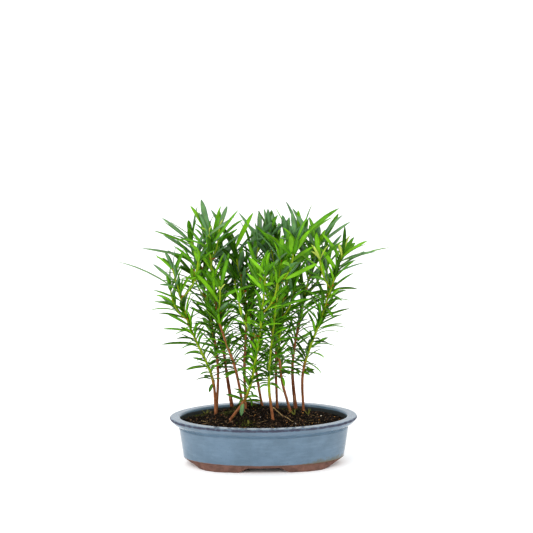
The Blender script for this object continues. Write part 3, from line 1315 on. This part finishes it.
class GROVE_OT_green_shoots(bpy.types.Operator):
    """The leafy shoots and side shoots: tapering tubes along their curves, with small swellings"""

    bl_idname = "grove.green_shoots"
    bl_label = "Green shoots"

    SHOOT_SIDES = 10
    SIDE_SHOOT_SIDES = 8
    SWELLING = 0.1
    SWELLING_SIZE = 4 * MM

    def execute(self, context):
        plant = context.scene.grove_plant
        shoots, sides = grow_twigs(plant)
        grids = []
        for twigs, sides_round in ((shoots, self.SHOOT_SIDES), (sides, self.SIDE_SHOOT_SIDES)):
            paths = np.array([twig.points for twig in twigs])
            radii = np.array([twig.radii for twig in twigs])
            greenness = np.array([twig.greenness for twig in twigs])
            skin = sweep(paths, radii, sides_round)
            swell = 1 + self.SWELLING * ripple(skin, self.SWELLING_SIZE, 9)[..., None]
            skin = paths[:, :, None] + (skin - paths[:, :, None]) * swell
            grids.append(with_column(skin, greenness))
        piece = put_tubes("green_shoots", grids, shoot_finish(plant), "greenness")
        place(piece, "foliage", *FOLIAGE_NODES)
        return {"FINISHED"}


class GROVE_OT_leaves(bpy.types.Operator):
    """The leaves in their five kinds, each kind one piece, and the midribs of all"""

    bl_idname = "grove.leaves"
    bl_label = "Leaves"

    def execute(self, context):
        plant = context.scene.grove_plant
        leaves = grow_leaves(plant)
        blades = leaf_blades(leaves)
        looks = (
            (plant.leaf_deep, 0.36, 0.06),
            (plant.leaf_green, 0.36, 0.09),
            (plant.leaf_bright, 0.38, 0.12),
            (plant.leaf_silvery, 0.3, 0.4),
            (plant.leaf_young, 0.45, 0.2),
        )
        for kind, (colour, roughness, gloss) in enumerate(looks):
            name = LEAF_KINDS[kind]
            material = leaf_finish(name, colour, roughness, gloss)
            place(put_tubes(name, [blades[leaves.kind == kind]], material), "foliage", *FOLIAGE_NODES)
        material = leaf_finish("midribs", plant.rib, 0.4)
        place(put_tubes("midribs", [leaf_ribs(leaves)], material), "foliage")
        return {"FINISHED"}


class GROVE_OT_buds(bpy.types.Operator):
    """Buds at the tips, and reddish scales round the foot of each side shoot and where the leafy shoot
    grew on after a rest: small pods"""

    bl_idname = "grove.buds"
    bl_label = "Buds"

    # Scales on each foot or rest, the stations of a leafy shoot between which it rested, and a pod's mesh
    SCALES = 7
    REST_STATIONS = (18, 34)
    RINGS_AND_SIDES = (5, 7)

    def execute(self, context):
        plant = context.scene.grove_plant
        random = np.random.default_rng(plant.seed + 2)
        shoots, sides = grow_twigs(plant)
        tips = np.array([twig.points[-1] for twig in shoots + sides])
        ways = np.array([twig.points[-1] - twig.points[-3] for twig in shoots + sides])
        count = len(tips)
        lengths = random.uniform(2.2, 4.2, count) * MM
        buds = pods(random, tips + unit(ways) * 0.8 * MM, ways, lengths, lengths * 0.5, *self.RINGS_AND_SIDES)
        rests = [twig.points[random.integers(*self.REST_STATIONS)] for twig in shoots]
        feet = np.repeat([twig.points[1] for twig in sides] + rests, self.SCALES, axis=0)
        spread = random.normal(size=feet.shape) * (1, 1, 0.6) + (0, 0, 0.7)
        scale_lengths = random.uniform(1.8, 4.6, len(feet)) * MM
        seats = feet + unit(spread) * (scale_lengths[:, None] * 0.5 + 0.6 * MM)
        scales = pods(random, seats, spread, scale_lengths, scale_lengths * 0.3, *self.RINGS_AND_SIDES)
        material = mottled_finish("bud_scale", plant.bud, 1.4 * MM, 0.5, 0.45, 0.1 * MM)
        place(put_tubes("buds", [buds, scales], material), "foliage")
        return {"FINISHED"}


class GROVE_OT_sprouts(bpy.types.Operator):
    """Small weeds on the soil: tufts of thin blades that lean out every way"""

    bl_idname = "grove.sprouts"
    bl_label = "Sprouts"

    # Where they grow, in mm from the pot's middle
    SPROUTS = ((-16, -35), (33, -7), (-31, -8), (-62, 26), (48, 6))
    BLADES = 5

    def execute(self, context):
        soil = context.scene.grove_soil
        random = np.random.default_rng(51)
        spots = np.array(self.SPROUTS) * MM
        roots = on_soil(spots, -0.5 * MM)
        count = self.BLADES * len(roots)
        seats = seat_leaves(
            np.repeat(roots, self.BLADES, axis=0),
            np.broadcast_to((0.0, 0.0, 1.0), (count, 3)),
            random.uniform(0, TAU, count),
            random.uniform(0.05, 0.7, count),
            random.normal(0, 0.4, count),
        )
        lengths = random.uniform(3, 9, count) * MM
        shape = np.full(count, 0.95 * MM), random.uniform(0.1, 0.9, count), np.full(count, 0.3)
        leaves = Leaves(*seats, lengths, *shape, np.zeros(count))
        material = leaf_finish("sprouts", soil.sprout, 0.45)
        place(put_tubes("sprouts", [leaf_blades(leaves)], material), "foliage")
        return {"FINISHED"}


# The stage

class GROVE_OT_stage(bpy.types.Operator):
    """A plain pale floor, soft white light from all round with a front key, and the camera"""

    bl_idname = "grove.stage"
    bl_label = "Stage"

    # In metres. Each light's place counts from the middle of the plant, which is LIT_HEIGHT up
    FLOOR_HALF = 30.0
    LIT_HEIGHT = 0.15
    KEY_SIZE = 1.5
    KEY_PLACE = (-1.0, -1.55, 1.5)
    FILL_SIZE = 1.4
    FILL_PLACE = (1.5, -1.0, 0.9)

    def execute(self, context):
        stage = context.scene.grove_stage
        corners = np.array([(-1, -1, 0), (1, -1, 0), (1, 1, 0), (-1, 1, 0)]) * self.FLOOR_HALF
        quads, no_triangles = np.array([(0, 1, 2, 3)]), np.zeros((0, 3), dtype=int)
        put_mesh("floor", corners, quads, no_triangles, floor_finish(stage))
        self.add_light("key_light", stage.key, self.KEY_SIZE, self.KEY_PLACE)
        self.add_light("fill_light", stage.fill, self.FILL_SIZE, self.FILL_PLACE)
        world = bpy.data.worlds.new("white_surround")
        world.use_nodes = True
        background = world.node_tree.nodes["Background"]
        background.inputs["Color"].default_value = (1, 1, 1, 1)
        background.inputs["Strength"].default_value = stage.sky
        context.scene.world = world
        context.scene.view_settings.view_transform = "Standard"
        self.add_camera(context, stage)
        return {"FINISHED"}

    def add_light(self, name, power, size, offset):
        """A square soft light, at an offset from the plant's middle and turned to it."""
        light = bpy.data.lights.new(name, "AREA")
        light.energy = power
        light.size = size
        lamp = bpy.data.objects.new(name, light)
        lamp.location = POT_MIDDLE + (0, 0, self.LIT_HEIGHT) + offset
        lamp.rotation_euler = Vector(offset).to_track_quat("Z", "Y").to_euler()
        bpy.context.scene.collection.objects.link(lamp)

    def add_camera(self, context, stage):
        """The camera stands off by its distance from the point it aims at, and looks down by its pitch."""
        camera = bpy.data.cameras.new("camera")
        camera.sensor_width = 36.0
        camera.angle = stage.view_angle
        stand = bpy.data.objects.new("camera", camera)
        aim = POT_MIDDLE + (stage.aim_side, 0, stage.aim_height)
        back = np.array([0, -math.cos(stage.pitch), math.sin(stage.pitch)])
        turned = Euler((math.pi / 2 - stage.pitch, 0, 0)).to_matrix() @ Matrix.Rotation(stage.roll, 3, "Z")
        stand.matrix_world = Matrix.Translation(aim + back * stage.distance) @ turned.to_4x4()
        bpy.context.scene.collection.objects.link(stand)
        context.scene.camera = stand


SETTINGS = {
    "grove_pot": PotSettings,
    "grove_soil": SoilSettings,
    "grove_plant": PlantSettings,
    "grove_stage": StageSettings,
}
OPERATORS = (
    GROVE_OT_glazed_bowl,
    GROVE_OT_clay_foot,
    GROVE_OT_soil_mound,
    GROVE_OT_soil_litter,
    GROVE_OT_moss,
    GROVE_OT_root_threads,
    GROVE_OT_sprouts,
    GROVE_OT_woody_stems,
    GROVE_OT_green_shoots,
    GROVE_OT_leaves,
    GROVE_OT_buds,
    GROVE_OT_stage,
)


class GROVE_PT_panel(bpy.types.Panel):
    """Lists the grove's settings and the steps that build it"""

    bl_idname = "GROVE_PT_panel"
    bl_label = "Podocarpus grove"
    bl_space_type = "VIEW_3D"
    bl_region_type = "UI"
    bl_category = "Grove"

    def draw(self, context):
        for name, group in SETTINGS.items():
            box = self.layout.box()
            for setting in group.__annotations__:
                box.prop(getattr(context.scene, name), setting)
        for operator in OPERATORS:
            self.layout.operator(operator.bl_idname)


def register():
    for part in (*SETTINGS.values(), *OPERATORS, GROVE_PT_panel):
        bpy.utils.register_class(part)
    for name, group in SETTINGS.items():
        setattr(bpy.types.Scene, name, PointerProperty(type=group))


def unregister():
    for name in SETTINGS:
        delattr(bpy.types.Scene, name)
    for part in (GROVE_PT_panel, *reversed(OPERATORS), *reversed(SETTINGS.values())):
        bpy.utils.unregister_class(part)


def main():
    register()
    for operator in OPERATORS:
        group, name = operator.bl_idname.split(".")
        getattr(getattr(bpy.ops, group), name)()


if __name__ == "__main__":
    main()
